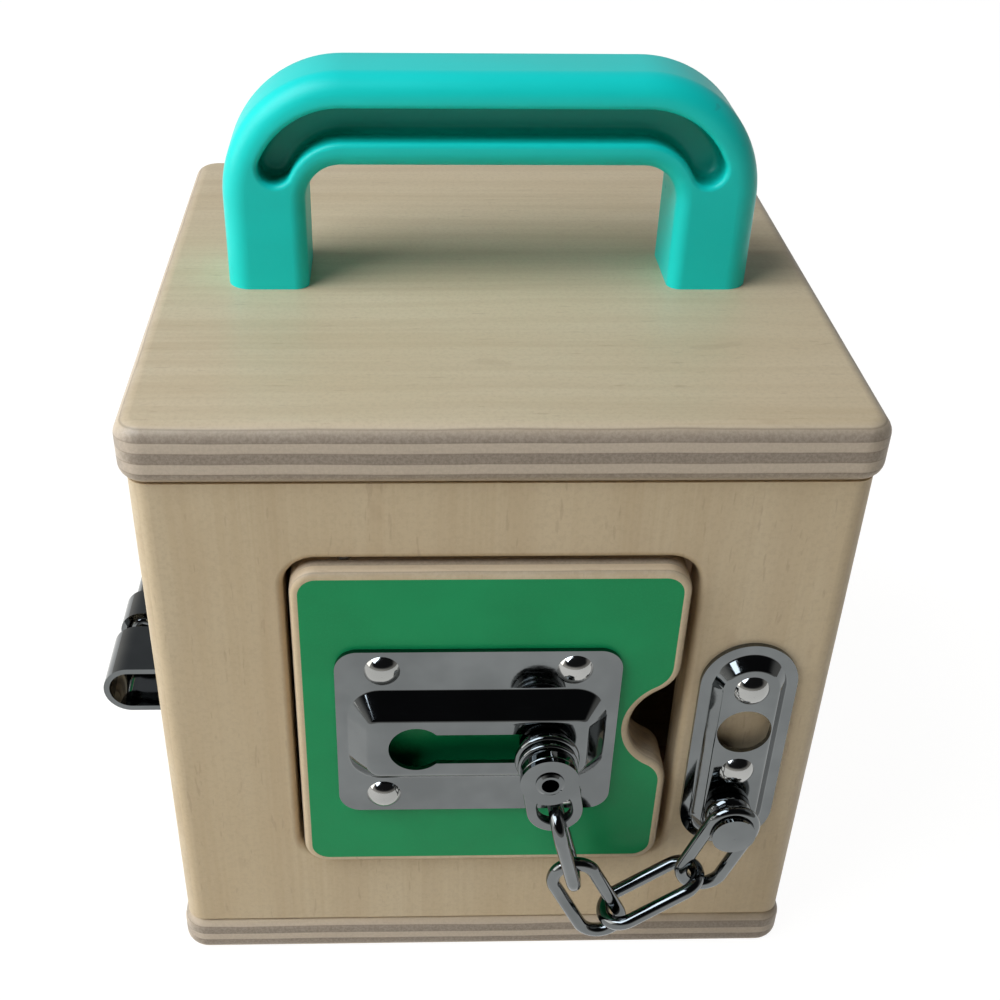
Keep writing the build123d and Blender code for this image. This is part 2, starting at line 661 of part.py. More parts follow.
with BuildPart() as handle_screws:
    for place in handle_places:
        turned(
            Plane.XY.offset(panel_top),
            place,
            [
                (0, -HANDLE_SCREW_HEAD),
                (HANDLE_SCREW_HEAD_RADIUS, -HANDLE_SCREW_HEAD),
                (HANDLE_SCREW_HEAD_RADIUS, 0),
                (HANDLE_SCREW_RADIUS, 0),
                (HANDLE_SCREW_RADIUS, LID_THICKNESS + HANDLE_SCREW_GRIP),
                (0, LID_THICKNESS + HANDLE_SCREW_GRIP),
            ],
        )

# Front door and its slot plate
with BuildPart() as front_door:
    door_board(front_door, front_door_face, front_opening, True)
    pivot_pins(front_door_face, front_opening, PIN_RADIUS + FIT, Mode.SUBTRACT)
    shank_holes(front_door_face, slot_rivet_places, RIVET_SHANK_LENGTH - SHEET + FIT)

with BuildPart() as front_door_sheet:
    face_sheet(front_door_face, front_opening, True)
    shank_holes(front_door_face, slot_rivet_places, FACE_SHEET)

with BuildPart() as front_door_pins:
    pivot_pins(front_door_face, front_opening, PIN_RADIUS)


def foot_edges(plate, face):
    """Edges where the raised middle of a pressed plate rises from its flat rim."""
    outward = Axis(face.origin, face.z_dir)
    rim_face = plate.faces().filter_by(outward).sort_by(outward)[-2]
    return rim_face.inner_wires()[0].edges()


slope = math.tan(math.radians(CHANNEL_SLOPE))
wall_run = SHEET / math.cos(math.radians(CHANNEL_SLOPE)) - SHEET * slope

with BuildPart() as slot_plate:
    with BuildSketch(front_door_face):
        with Locations(slot_place):
            RectangleRounded(SLOT_PLATE_LENGTH, SLOT_PLATE_HEIGHT, SLOT_PLATE_ROUND)
    extrude(amount=SHEET)
    with BuildSketch(front_door_face.offset(SHEET)):
        with Locations(slot_place):
            RectangleRounded(CHANNEL_LENGTH, CHANNEL_HEIGHT, CHANNEL_ROUND)
    extrude(amount=CHANNEL_RISE, taper=CHANNEL_SLOPE)
    outward = Axis(front_door_face.origin, front_door_face.z_dir)
    fillet(slot_plate.faces().sort_by(outward)[-1].edges(), CHANNEL_LIP_ROUND)
    fillet(foot_edges(slot_plate, front_door_face), CHANNEL_FOOT_ROUND)
    with BuildSketch(front_door_face):
        with Locations(slot_place):
            RectangleRounded(
                CHANNEL_LENGTH - 2 * wall_run,
                CHANNEL_HEIGHT - 2 * wall_run,
                CHANNEL_ROUND - wall_run,
            )
    extrude(amount=CHANNEL_RISE, taper=CHANNEL_SLOPE, mode=Mode.SUBTRACT)
    with BuildSketch(channel_face):
        with Locations((keyhole_x, hardware_level)):
            Circle(KEYHOLE_RADIUS)
        with Locations((keyhole_x + SLOT_TRAVEL / 2 + SLIDER_PLAY / 2, hardware_level)):
            SlotCenterToCenter(SLOT_TRAVEL + SLIDER_PLAY, SLOT_WIDTH)
    extrude(amount=-2 * SHEET, mode=Mode.SUBTRACT)
    shank_holes(front_door_face.offset(SHEET), slot_rivet_places, SHEET)

with BuildPart() as slot_plate_rivets:
    domed_rivets(
        front_door_face.offset(SHEET),
        slot_rivet_places,
        SLOT_RIVET_RADIUS,
        RIVET_RISE,
        RIVET_SHANK_LENGTH,
    )

# Slider, washer, eyelet and bail
slider_place = (slider_x, hardware_level)

with BuildPart() as chain_slider:
    turned(
        channel_face,
        slider_place,
        [
            (0, -SHEET - SLIDER_PLAY - SLIDER_HEAD),
            (SLIDER_HEAD_RADIUS, -SHEET - SLIDER_PLAY - SLIDER_HEAD),
            (SLIDER_HEAD_RADIUS, -SHEET - SLIDER_PLAY),
            (SLIDER_NECK_RADIUS, -SHEET - SLIDER_PLAY),
            (SLIDER_NECK_RADIUS, SLIDER_PLAY),
            (COLLAR_RADIUS, SLIDER_PLAY),
            (COLLAR_RADIUS, collar_top),
            (RING_RADIUS, collar_top),
            (RING_RADIUS, ring_top),
            (GROOVE_RADIUS, ring_top),
            (GROOVE_RADIUS, groove_top),
            (SECOND_RING_RADIUS, groove_top),
            (SECOND_RING_RADIUS, second_ring_top),
            (NOSE_RADIUS, second_ring_top),
            (NOSE_RADIUS, nose_top),
            (EYELET_RADIUS + FIT, nose_top),
            (EYELET_RADIUS + FIT, nose_top - EYELET_SEAT_DEPTH),
            (0, nose_top - EYELET_SEAT_DEPTH),
        ],
    )
    for radius, rounding in ((RING_RADIUS, RING_ROUND), (SECOND_RING_RADIUS, SECOND_RING_ROUND)):
        circles = chain_slider.edges().filter_by(GeomType.CIRCLE)
        fillet(circles.filter_by(lambda edge: abs(edge.radius - radius) < FIT), rounding)

with BuildPart() as slider_washer:
    with BuildSketch(channel_face.offset(washer_seat)):
        with Locations(slider_place):
            Circle(WASHER_RADIUS)
            Circle(EYELET_RADIUS + FIT, mode=Mode.SUBTRACT)
    extrude(amount=WASHER_THICKNESS)

with BuildPart() as slider_eyelet:
    turned(
        channel_face,
        slider_place,
        [
            (EYELET_BORE, nose_top - EYELET_SEAT_DEPTH),
            (EYELET_RADIUS, nose_top - EYELET_SEAT_DEPTH),
            (EYELET_RADIUS, rim_seat),
            (EYELET_RIM_RADIUS, rim_seat),
            (EYELET_RIM_RADIUS, rim_seat + EYELET_RIM / 2),
            (EYELET_RADIUS, rim_seat + EYELET_RIM),
            (EYELET_BORE, rim_seat + EYELET_RIM),
        ],
    )

bail_plane = Plane(
    origin=channel_face.from_local_coords((slider_x, hardware_level, bail_seat)),
    x_dir=hang(BAIL_HANG),
    z_dir=channel_face.z_dir,
)

with BuildPart() as chain_bail:
    with BuildSketch(bail_plane):
        with Locations((BAIL_REACH / 2, 0)):
            SlotCenterToCenter(BAIL_REACH, 2 * BAIL_RADIUS)
        Circle(EYELET_RADIUS + SWIVEL_FIT, mode=Mode.SUBTRACT)
        with Locations((BAIL_REACH - BAIL_WINDOW_RUN / 2, 0)):
            SlotCenterToCenter(BAIL_WINDOW_RUN, 2 * BAIL_WINDOW_RADIUS, mode=Mode.SUBTRACT)
    extrude(amount=BAIL_THICKNESS)
    fillet(chain_bail.faces().filter_by(Axis.Y).edges(), BAIL_EDGE_ROUND)


def link_loop(middle, along, across):
    """One chain link: round wire along a loop with straight sides, in the plane of the two directions."""
    plane = Plane(origin=middle, x_dir=along, z_dir=along.cross(across))
    half = LINK_STRAIGHT / 2
    with BuildLine(plane) as loop:
        Line((-half, loop_radius), (half, loop_radius))
        CenterArc((half, 0), loop_radius, 90, -180)
        Line((half, -loop_radius), (-half, -loop_radius))
        CenterArc((-half, 0), loop_radius, -90, -180)
    wire = loop.wires()[0]
    with BuildSketch(Plane(origin=plane.from_local_coords((-half, loop_radius, 0)), z_dir=along)) as section:
        Circle(wire_radius)
    sweep(section.sketch, path=wire)


def deep_link(start, end, start_depth, run):
    """A link seen edge-on, between two joints of the chain, drifting in depth by the run."""
    flat = (end - start).normalized()
    begin = start + flat * link_reach
    finish = end - flat * link_reach
    tail = Vector(begin.X, start_depth + LINK_SIDE_SLACK, begin.Z)
    tip = Vector(finish.X, start_depth + LINK_SIDE_SLACK + run, finish.Z)
    along = (tip - tail).normalized()
    link_loop((tail + tip) / 2, along, flat.cross(Vector(0, 1, 0)).cross(along))


def flat_link(start, end, depth):
    """A link that faces the front, between two joints of the chain."""
    middle = (start + end) / 2
    link_loop(Vector(middle.X, depth, middle.Z), (end - start).normalized(), Vector(0, 1, 0).cross(end - start))


with BuildPart() as chain_link_1:
    deep_link(joint_1, joint_2, bail_depth, first_run)

with BuildPart() as chain_link_2:
    flat_link(joint_2, joint_3, flat_link_depth[0])

with BuildPart() as chain_link_3:
    deep_link(joint_3, joint_4, flat_link_depth[0], third_run)

with BuildPart() as chain_link_4:
    flat_link(joint_4, stud_centre, flat_link_depth[1])

# Chain plate and the stud that holds the last link
raised_length = CHAIN_PLATE_LENGTH - 2 * CHAIN_PLATE_FLANGE
raised_width = CHAIN_PLATE_WIDTH - 2 * CHAIN_PLATE_FLANGE
hollow_slope = math.tan(math.radians(CHAIN_PLATE_SLOPE))
hollow_wall = SHEET / math.cos(math.radians(CHAIN_PLATE_SLOPE)) - SHEET * hollow_slope

with BuildPart() as chain_plate:
    with BuildSketch(front_face):
        with Locations((plate_x, plate_z)):
            SlotOverall(CHAIN_PLATE_LENGTH, CHAIN_PLATE_WIDTH, rotation=90)
    extrude(amount=SHEET)
    with BuildSketch(front_face.offset(SHEET)):
        with Locations((plate_x, plate_z)):
            SlotOverall(raised_length, raised_width, rotation=90)
    extrude(amount=CHAIN_PLATE_RISE, taper=CHAIN_PLATE_SLOPE)
    outward = Axis(front_face.origin, front_face.z_dir)
    fillet(chain_plate.faces().sort_by(outward)[-1].edges(), CHAIN_PLATE_LIP_ROUND)
    fillet(foot_edges(chain_plate, front_face), CHAIN_PLATE_FOOT_ROUND)
    with BuildSketch(front_face):
        with Locations((plate_x, plate_z)):
            SlotOverall(raised_length - 2 * hollow_wall, raised_width - 2 * hollow_wall, rotation=90)
    extrude(amount=CHAIN_PLATE_RISE, taper=CHAIN_PLATE_SLOPE, mode=Mode.SUBTRACT)
    shank_holes(chain_face, [hole_place], 2 * SHEET, PLATE_HOLE_RADIUS)
    shank_holes(chain_face, plate_rivet_places, 2 * SHEET)

with BuildPart() as chain_plate_rivets:
    domed_rivets(chain_face, plate_rivet_places, PLATE_RIVET_RADIUS, RIVET_RISE, plate_rivet_grip)

with BuildPart() as chain_stud:
    stud_plane = axis_plane(chain_face, stud_place)
    shoulder = STUD_BASE_RADIUS - STUD_BASE_ROUND
    base_wall = STUD_GAP + STUD_BASE - STUD_BASE_ROUND
    crown = stud_head + STUD_HEAD
    with BuildSketch(stud_plane):
        with BuildLine():
            Polyline((0, STUD_GAP), (STUD_BASE_RADIUS, STUD_GAP), (STUD_BASE_RADIUS, base_wall))
            CenterArc((shoulder, base_wall), STUD_BASE_ROUND, 0, 90)
            Polyline(
                (shoulder, stud_neck),
                (STUD_NECK_RADIUS, stud_neck),
                (STUD_NECK_RADIUS, stud_head),
                (STUD_HEAD_RADIUS, stud_head),
                (STUD_HEAD_RADIUS, crown),
            )
            ThreePointArc(
                (STUD_HEAD_RADIUS, crown),
                dome_halfway(STUD_HEAD_RADIUS, STUD_HEAD_CROWN, crown),
                (0, crown + STUD_HEAD_CROWN),
            )
            Line((0, crown + STUD_HEAD_CROWN), (0, STUD_GAP))
        make_face()
    revolve(axis=Axis(stud_plane.origin, chain_face.z_dir))

# Side door with its bolt
with BuildPart() as side_door:
    door_board(side_door, side_door_face, side_opening, False)
    pivot_pins(side_door_face, side_opening, PIN_RADIUS + FIT, Mode.SUBTRACT)
    shank_holes(side_door_face, bolt_screw_places, RIVET_SHANK_LENGTH - SHEET + FIT)

with BuildPart() as side_door_sheet:
    face_sheet(side_door_face, side_opening, False)
    shank_holes(side_door_face, bolt_screw_places, FACE_SHEET)

with BuildPart() as side_door_pins:
    pivot_pins(side_door_face, side_opening, PIN_RADIUS)

leg_middle = GUIDE_BORE + GUIDE_WALL / 2

with BuildPart() as bolt_plate:
    with BuildSketch(side_door_face):
        with Locations((plate_middle, bolt_level)):
            RectangleRounded(BOLT_PLATE_LENGTH, BOLT_PLATE_HEIGHT, BOLT_PLATE_ROUND)
        with Locations(*[(place, bolt_level) for place in guide_places]):
            with GridLocations(0, 2 * leg_middle, 1, 2):
                Rectangle(GUIDE_LENGTH + 2 * FIT, GUIDE_WALL + 2 * FIT, mode=Mode.SUBTRACT)
    extrude(amount=SHEET)
    shank_holes(plate_face, bolt_screw_places, SHEET)

with BuildPart() as bolt_guides:
    for place in guide_places:
        arch(side_door_face, place, bolt_level, GUIDE_BORE, GUIDE_LENGTH, SHEET + rod_lift)

with BuildPart() as bolt_plate_screws:
    domed_rivets(plate_face, bolt_screw_places, BOLT_SCREW_RADIUS, RIVET_RISE / 2, RIVET_SHANK_LENGTH)

rod_start = side_door_face.from_local_coords((rod_front, bolt_level, SHEET + rod_lift))
rod_plane = Plane(origin=rod_start, x_dir=(0, 0, 1), z_dir=side_door_face.x_dir)
knob_place = side_door_face.from_local_coords((knob_middle, bolt_level, SHEET + rod_lift))

with BuildPart() as bolt_rod:
    with BuildSketch(rod_plane):
        Circle(ROD_RADIUS)
    extrude(amount=-ROD_LENGTH)
    fillet(bolt_rod.edges().filter_by(GeomType.CIRCLE).sort_by(Axis.Y)[0], ROD_NOSE_ROUND)
    with BuildSketch(Plane.XY.offset(bolt_level)):
        with Locations((knob_place.X, knob_place.Y)):
            Circle(KNOB_STEM_RADIUS + FIT)
    extrude(amount=-ROD_RADIUS, mode=Mode.SUBTRACT)

knob_ball = bolt_level - ROD_RADIUS - KNOB_STEM - KNOB_RADIUS / 2

with BuildPart() as bolt_knob:
    with BuildSketch(Plane.XY.offset(bolt_level)):
        with Locations((knob_place.X, knob_place.Y)):
            Circle(KNOB_STEM_RADIUS)
    extrude(amount=knob_ball - bolt_level)
    with Locations((knob_place.X, knob_place.Y, knob_ball)):
        Sphere(KNOB_RADIUS)

with BuildPart() as bolt_keeper:
    arch(left_face, keeper_middle, bolt_level, KEEPER_BORE, KEEPER_LENGTH, keeper_lift)
    with BuildSketch(left_face):
        with Locations(*keeper_screw_places):
            RectangleRounded(KEEPER_LENGTH, KEEPER_EAR, KEEPER_EAR_ROUND)
    extrude(amount=SHEET)
    shank_holes(left_face.offset(SHEET), keeper_screw_places, SHEET)

with BuildPart() as keeper_screws:
    keeper_seat = left_face.offset(SHEET)
    domed_rivets(keeper_seat, keeper_screw_places, BOLT_SCREW_RADIUS, RIVET_RISE / 2, RIVET_SHANK_LENGTH)

pieces = {
    "base_panel": base_panel,
    "lid_panel": lid_panel,
    "front_panel": front_panel,
    "back_panel": back_panel,
    "left_panel": left_panel,
    "right_panel": right_panel,
    "base_screws": base_screws,
    "lid_dowels": lid_dowels,
    "corner_dowels": corner_dowels,
    "front_door_stops": front_door_stops,
    "side_door_stops": side_door_stops,
    "handle": handle,
    "handle_screws": handle_screws,
    "chain_plate": chain_plate,
    "chain_plate_rivets": chain_plate_rivets,
    "bolt_keeper": bolt_keeper,
    "keeper_screws": keeper_screws,
    "front_door": front_door,
    "front_door_sheet": front_door_sheet,
    "front_door_pins": front_door_pins,
    "slot_plate": slot_plate,
    "slot_plate_rivets": slot_plate_rivets,
    "chain_slider": chain_slider,
    "slider_washer": slider_washer,
    "slider_eyelet": slider_eyelet,
    "chain_bail": chain_bail,
    "chain_link_1": chain_link_1,
    "chain_link_2": chain_link_2,
    "chain_link_3": chain_link_3,
    "chain_link_4": chain_link_4,
    "chain_stud": chain_stud,
    "side_door": side_door,
    "side_door_sheet": side_door_sheet,
    "side_door_pins": side_door_pins,
    "bolt_plate": bolt_plate,
    "bolt_guides": bolt_guides,
    "bolt_plate_screws": bolt_plate_screws,
    "bolt_rod": bolt_rod,
    "bolt_knob": bolt_knob,
}

os.makedirs("parts", exist_ok=True)
for name, piece in pieces.items():
    piece.part.label = name
    export_step(piece.part, f"parts/{name}.step")
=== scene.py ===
import math

import bpy
from mathutils import Matrix, Vector

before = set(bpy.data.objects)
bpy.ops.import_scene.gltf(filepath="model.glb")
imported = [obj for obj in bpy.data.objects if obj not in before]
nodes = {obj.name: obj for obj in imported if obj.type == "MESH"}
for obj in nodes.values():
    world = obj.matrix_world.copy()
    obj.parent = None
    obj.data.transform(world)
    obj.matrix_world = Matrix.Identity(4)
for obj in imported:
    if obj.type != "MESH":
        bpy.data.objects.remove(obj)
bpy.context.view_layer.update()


# Colours, as linear red, green, blue and opacity

birch_deep = (0.625, 0.478, 0.298, 1)
birch_pale = (0.70, 0.556, 0.368, 1)
birch_streak = (0.735, 0.60, 0.415, 1)
birch_figure = (0.55, 0.398, 0.235, 1)
birch_cloud = (0.66, 0.495, 0.30, 1)
birch_pore = (0.52, 0.385, 0.235, 1)
birch_fleck = (0.36, 0.22, 0.125, 1)
birch_knot = (0.42, 0.27, 0.15, 1)
end_grain_dark = (0.215, 0.165, 0.125, 1)
end_grain_light = (0.335, 0.266, 0.208, 1)
sawn_dark = (0.545, 0.455, 0.38, 1)
sawn_light = (0.635, 0.535, 0.455, 1)
glue_line = (0.22, 0.155, 0.105, 1)
beech_dark = (0.47, 0.30, 0.17, 1)
beech_light = (0.62, 0.43, 0.27, 1)
beech_ray = (0.36, 0.21, 0.11, 1)
green_dark = (0.004, 0.302, 0.098, 1)
green_light = (0.007, 0.348, 0.118, 1)
green_speck = (0.012, 0.378, 0.135, 1)
turquoise_dark = (0.006, 0.685, 0.610, 1)
turquoise_light = (0.006, 0.745, 0.670, 1)
turquoise_scuff = (0.05, 0.33, 0.30, 1)
# Painted shade for the handle's groove: a darker turquoise standing in for the shadow under its lip
turquoise_groove_shade = (0.0, 0.36, 0.285, 1)
chrome_dark = (0.138, 0.147, 0.150, 1)
chrome_light = (0.172, 0.183, 0.186, 1)
nickel_dark = (0.33, 0.335, 0.325, 1)
nickel_light = (0.42, 0.42, 0.41, 1)
steel_dark = (0.40, 0.40, 0.395, 1)
steel_light = (0.50, 0.50, 0.49, 1)
floor_pale = (0.82, 0.765, 0.645, 1)
floor_glow = (1, 1, 1, 1)
room_level = (0.56, 0.54, 0.51, 1)
room_overhead = (0.16, 0.168, 0.18, 1)
room_right = (0.05, 0.048, 0.045, 1)
room_front = (0.014, 0.014, 0.015, 1)


# Shader helpers

def feed(tree, socket, value):
    """A link into a socket, or a constant set on it."""
    if isinstance(value, bpy.types.NodeSocket):
        tree.links.new(value, socket)
    else:
        socket.default_value = value


def add(tree, kind, inputs=None, **settings):
    """A shader node with its settings, its constant inputs and its linked inputs."""
    node = tree.nodes.new(kind)
    for key, value in settings.items():
        setattr(node, key, value)
    for key, value in (inputs or {}).items():
        feed(tree, node.inputs[key], value)
    return node


def calc(tree, operation, *values):
    """One step of arithmetic on sockets or numbers."""
    return add(tree, "ShaderNodeMath", dict(enumerate(values)), operation=operation).outputs[0]


def scaled(tree, value, factor):
    """A value times a factor."""
    return calc(tree, "MULTIPLY", value, factor)


def limited(tree, value, low, high):
    """A value kept between two limits."""
    return calc(tree, "MINIMUM", calc(tree, "MAXIMUM", value, low), high)


def ramp(tree, value, low, high, start=0.0, end=1.0):
    """A value mapped from one range to another, with smooth ends."""
    inputs = {0: value, 1: low, 2: high, 3: start, 4: end}
    return add(tree, "ShaderNodeMapRange", inputs, interpolation_type="SMOOTHSTEP").outputs[0]


def blend(tree, share, first, second):
    """Two colours mixed by a share."""
    node = add(tree, "ShaderNodeMix", data_type="RGBA")
    sockets = {socket.identifier: socket for socket in node.inputs}
    feed(tree, sockets["Factor_Float"], share)
    feed(tree, sockets["A_Color"], first)
    feed(tree, sockets["B_Color"], second)
    return next(socket for socket in node.outputs if socket.type == "RGBA")


def split(tree, vector):
    """The three parts of a vector, by the letter of their axis."""
    return add(tree, "ShaderNodeSeparateXYZ", {0: vector}).outputs


def stretched(tree, vector, scale):
    """Coordinates with their own scale along each axis."""
    return add(tree, "ShaderNodeMapping", {"Vector": vector, "Scale": scale}).outputs[0]


def noise(tree, vector, scale, detail=2.0, roughness=0.5):
    """Noise value round a half."""
    inputs = {"Vector": vector, "Scale": scale, "Detail": detail, "Roughness": roughness}
    return add(tree, "ShaderNodeTexNoise", inputs).outputs[0]


def drawn_noise(tree, vector, scale, detail, roughness=0.5):
    """Noise with its own scale along each axis."""
    return noise(tree, stretched(tree, vector, scale), 1.0, detail, roughness)


def start_material(name, constants):
    """A material with one principled shader, whose constants are set on its own sockets."""
    material = bpy.data.materials.new(name)
    material.use_nodes = True
    tree = material.node_tree
    tree.nodes.clear()
    shader = add(tree, "ShaderNodeBsdfPrincipled", constants)
    add(tree, "ShaderNodeOutputMaterial", {0: shader.outputs[0]})
    coordinates = add(tree, "ShaderNodeTexCoord").outputs
    return material, tree, shader, coordinates


def surface(tree, shader, tone, gloss, relief, strength, distance):
    """The shader's colour, its roughness and the fine relief of its surface."""
    feed(tree, shader.inputs["Base Color"], tone)
    feed(tree, shader.inputs["Roughness"], gloss)
    inputs = {"Height": relief, "Strength": strength, "Distance": distance}
    feed(tree, shader.inputs["Normal"], add(tree, "ShaderNodeBump", inputs).outputs[0])


# Wood

def along(axis, lengthwise, crosswise):
    """Scale of a texture that runs along one axis."""
    return tuple(lengthwise if letter == axis else crosswise for letter in "XYZ")


def birch(tree, place, grain, seed):
    """Colour and relief of rotary cut birch veneer whose grain runs along one axis."""
    shift = (seed, seed * 1.7, seed * 0.6)
    moved = add(tree, "ShaderNodeMapping", {"Vector": place, "Location": shift}).outputs[0]
    streaks = drawn_noise(tree, moved, along(grain, 9, 620), detail=4.0, roughness=0.6)
    bands = drawn_noise(tree, moved, along(grain, 7, 58), detail=3.0, roughness=0.55)
    clouds = noise(tree, moved, scale=16.0)
    rings = {
        "Vector": stretched(tree, moved, along(grain, 7, 34)),
        "Scale": 1.0,
        "Distortion": 5.5,
        "Detail": 2.0,
    }
    wave = add(tree, "ShaderNodeTexWave", rings, wave_type="RINGS", rings_direction=grain)
    figure = wave.outputs["Fac"]
    flecks = drawn_noise(tree, moved, along(grain, 150, 900), detail=1.0)
    flecks = ramp(tree, flecks, low=0.69, high=0.76)
    knots = drawn_noise(tree, moved, along(grain, 45, 120), detail=1.0)
    knots = ramp(tree, knots, low=0.73, high=0.79)
    pores = noise(tree, moved, scale=1100.0, roughness=0.7)
    tone = blend(tree, ramp(tree, bands, low=0.3, high=0.72), birch_deep, birch_pale)
    tone = blend(tree, ramp(tree, streaks, low=0.38, high=0.66, end=0.4), tone, birch_streak)
    tone = blend(tree, ramp(tree, figure, low=0.55, high=1.0, end=0.26), tone, birch_figure)
    tone = blend(tree, ramp(tree, clouds, low=0.35, high=0.7, end=0.4), tone, birch_cloud)
    tone = blend(tree, ramp(tree, pores, low=0.4, high=0.72, end=0.3), tone, birch_pore)
    tone = blend(tree, scaled(tree, flecks, factor=0.22), tone, birch_fleck)
    tone = blend(tree, scaled(tree, knots, factor=0.2), tone, birch_knot)
    relief = calc(tree, "SUBTRACT", streaks, scaled(tree, flecks, factor=0.6))
    return tone, relief


def facing_share(tree, part):
    """Share of a surface that faces along an axis, either way, from that part of its normal."""
    return calc(tree, "POWER", calc(tree, "ABSOLUTE", part), 2.0)


def plywood(board, across, grain, cross, seed, plies, veneer, sawn, ends):
    """Birch plywood in the round: plies between two face veneers, each turned a right angle."""
    levels = [corner["XYZ".index(across)] for corner in board.bound_box]
    ply = (max(levels) - min(levels) - 2 * veneer) / (plies - 2)
    low = min(levels) + veneer - ply
    lacquer = {"Coat Weight": 0.06, "Coat Roughness": 0.3}
    material, tree, shader, coordinates = start_material("birch_" + board.name, lacquer)
    place = coordinates["Object"]
    facing = split(tree, coordinates["Normal"])

    # Number of the ply at a point, which wavers a little, and the glue lines between the plies
    middle = 0.5
    skin = 0.01
    waver = scaled(tree, calc(tree, "SUBTRACT", noise(tree, place, scale=45.0), middle), factor=0.3)
    height = calc(tree, "SUBTRACT", split(tree, place)[across], low)
    level = calc(tree, "ADD", calc(tree, "DIVIDE", height, ply), waver)
    level = limited(tree, level, skin, plies - skin)
    turned = calc(tree, "MODULO", calc(tree, "FLOOR", level), 2.0)
    inner = limited(tree, level, middle, plies - middle)
    seam = calc(tree, "PINGPONG", inner, middle)
    seam = ramp(tree, seam, low=0.0, high=0.1, start=1.0, end=0.0)

    # Ply along the face's grain and ply across it, each with its sawn edges and its end grain
    cross_shift = 3.1
    pores = ramp(tree, noise(tree, place, scale=1500.0, roughness=0.7), low=0.3, high=0.7)
    end_tone = blend(tree, pores, end_grain_dark, end_grain_light)
    saw_tone = blend(tree, pores, sawn_dark, sawn_light)
    edge = calc(tree, "SUBTRACT", 1.0, facing_share(tree, facing[across]))
    sawing = scaled(tree, edge, sawn)
    layers = []
    for run, pattern in ((grain, seed), (cross, seed + cross_shift)):
        tone, relief = birch(tree, place, run, pattern)
        tone = blend(tree, sawing, tone, saw_tone)
        tone = blend(tree, scaled(tree, facing_share(tree, facing[run]), ends), tone, end_tone)
        layers.append((tone, relief))
    (face_tone, face_relief), (cross_tone, _) = layers

    glue_share = 0.5
    tone = blend(tree, turned, face_tone, cross_tone)
    tone = blend(tree, scaled(tree, seam, glue_share * ends), tone, glue_line)
    wear = noise(tree, place, scale=30.0, detail=3.0)
    gloss = ramp(tree, wear, low=0.25, high=0.75, start=0.40, end=0.54)
    relief = calc(tree, "ADD", scaled(tree, face_relief, factor=0.6), scaled(tree, seam, factor=-0.5))
    surface(tree, shader, tone, gloss, relief, strength=0.25, distance=0.00012)
    return material


def beech(name, grain):
    """Plain beech for the battens and dowels."""
    material, tree, shader, coordinates = start_material(name, {})
    place = coordinates["Object"]
    lines = drawn_noise(tree, place, along(grain, 14, 420), detail=4.0, roughness=0.6)
    rays = drawn_noise(tree, place, along(grain, 260, 1300), detail=1.0)
    rays = ramp(tree, rays, low=0.6, high=0.7)
    tone = blend(tree, ramp(tree, lines, low=0.3, high=0.7), beech_dark, beech_light)
    tone = blend(tree, scaled(tree, rays, factor=0.4), tone, beech_ray)
    gloss = ramp(tree, lines, low=0.3, high=0.7, start=0.5, end=0.62)
    surface(tree, shader, tone, gloss, lines, strength=0.3, distance=0.00015)
    return material


# Coloured sheet, plastic and metal

def green_sheet():
    """Smooth green door sheet: nearly even colour, faint mottling, hairline scratches in the gloss."""
    material, tree, shader, coordinates = start_material("green_sheet", {"Specular IOR Level": 0.22})
    place = coordinates["Object"]
    mottle = noise(tree, place, scale=38.0, detail=3.0)
    speck = noise(tree, place, scale=2400.0)
    scratches = drawn_noise(tree, place, (60, 60, 1800), detail=2.0)
    tone = blend(tree, ramp(tree, mottle, low=0.3, high=0.7), green_dark, green_light)
    tone = blend(tree, ramp(tree, speck, low=0.45, high=0.75, end=0.25), tone, green_speck)
    satin = ramp(tree, mottle, low=0.25, high=0.75, start=0.33, end=0.42)
    gloss = calc(tree, "ADD", satin, ramp(tree, scratches, low=0.62, high=0.7, end=0.1))
    relief = calc(tree, "ADD", speck, scratches)
    surface(tree, shader, tone, gloss, relief, strength=0.12, distance=0.00005)
    return material


def groove_shade_share(tree, place, handle):
    """How deep a point lies in the handle's long groove, from 0 outside it to 1 near its floor, used as the
    share of painted shade there.
    """
    # Drop of the groove's path below the top, round of the handle's outer corners, half the width
    drop = 0.0104
    outer_round = 0.027
    half_width = 0.0036
    # Depth at which the painted shade is full, width of the soft border, rise over which the ends of the
    # path fade in
    full_depth = 0.0048
    fade = 0.001
    rise = 0.0035
    corners = [Vector(corner) for corner in handle.bound_box]
    top = max(corner.z for corner in corners)
    end = max(corner.x for corner in corners)
    half_thick = max(corner.y for corner in corners)
    turn = outer_round - drop

    # The path is straight under the top of the handle and bends down at both ends
    parts = split(tree, place)
    across = calc(tree, "SUBTRACT", calc(tree, "ABSOLUTE", parts["X"]), end - outer_round)
    across = calc(tree, "MAXIMUM", across, 0.0)
    upward = calc(tree, "SUBTRACT", parts["Z"], top - drop - turn)
    squares = (calc(tree, "MULTIPLY", side, side) for side in (across, upward))
    radius = calc(tree, "SQRT", calc(tree, "ADD", *squares))
    away = calc(tree, "ABSOLUTE", calc(tree, "SUBTRACT", radius, turn))
    inside = ramp(tree, away, half_width, half_width + fade, start=1.0, end=0.0)
    inside = calc(tree, "MULTIPLY", inside, ramp(tree, upward, fade, rise))
    level = calc(tree, "ABSOLUTE", parts["Y"])
    deep = ramp(tree, level, half_thick - full_depth, half_thick, start=1.0, end=0.0)
    return calc(tree, "MULTIPLY", inside, deep)


